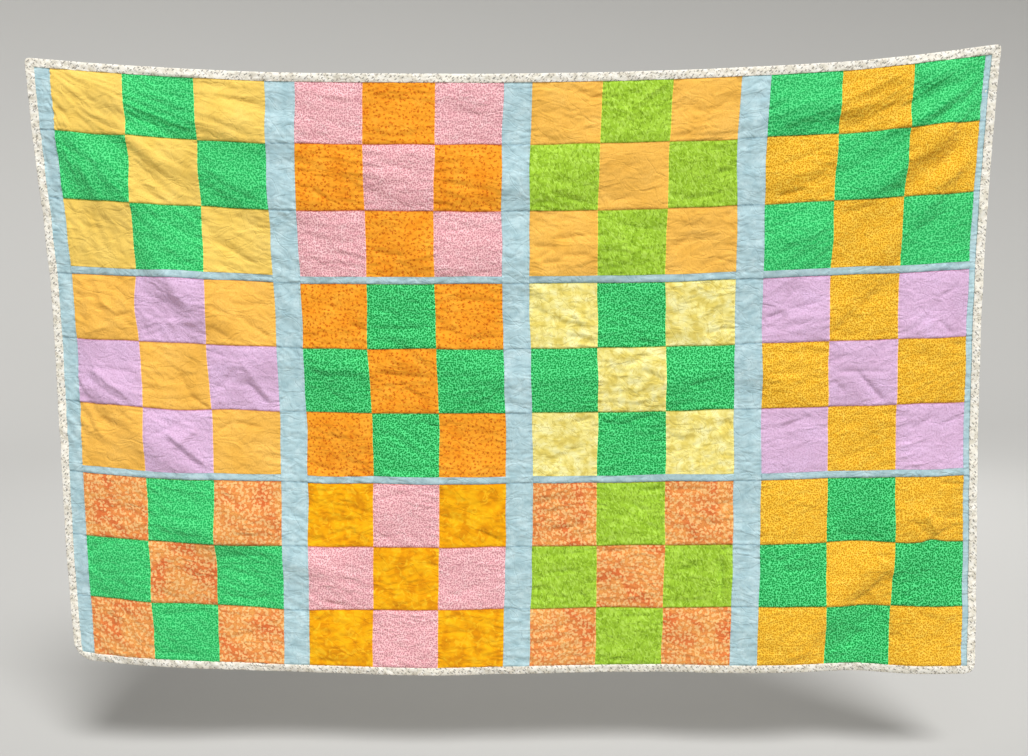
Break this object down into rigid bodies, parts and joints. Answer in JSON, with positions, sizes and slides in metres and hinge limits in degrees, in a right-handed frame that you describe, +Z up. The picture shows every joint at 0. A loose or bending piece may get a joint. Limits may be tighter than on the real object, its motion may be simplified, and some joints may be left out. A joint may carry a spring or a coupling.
{
  "type": "hung patchwork quilt",
  "caption": "Patchwork crib quilt of checked blocks with pale blue sashing and a folded cream binding, hung by its top edge, with soft folds fanning from its top corners.",
  "frame": {"origin": "middle of the top edge, on the fold of the binding", "axes": "+X along the top edge, to the right as seen from the front; +Z up; the patchwork faces -Y"},
  "size_m": [1.4042, 0.0378, 0.9313],
  "materials": {
    "patchwork": "printed quilting cottons in green, yellows, oranges, pink and lilac with pale blue sashing, matt, softly crinkled",
    "binding": "cream cotton with a fine sprig print, folded double, matt"
  },
  "bodies": {
    "root": {"quilt_body": "patchwork", "binding_top": "binding", "binding_right": "binding", "binding_bottom": "binding", "binding_left": "binding"}
  },
  "joints": []
}
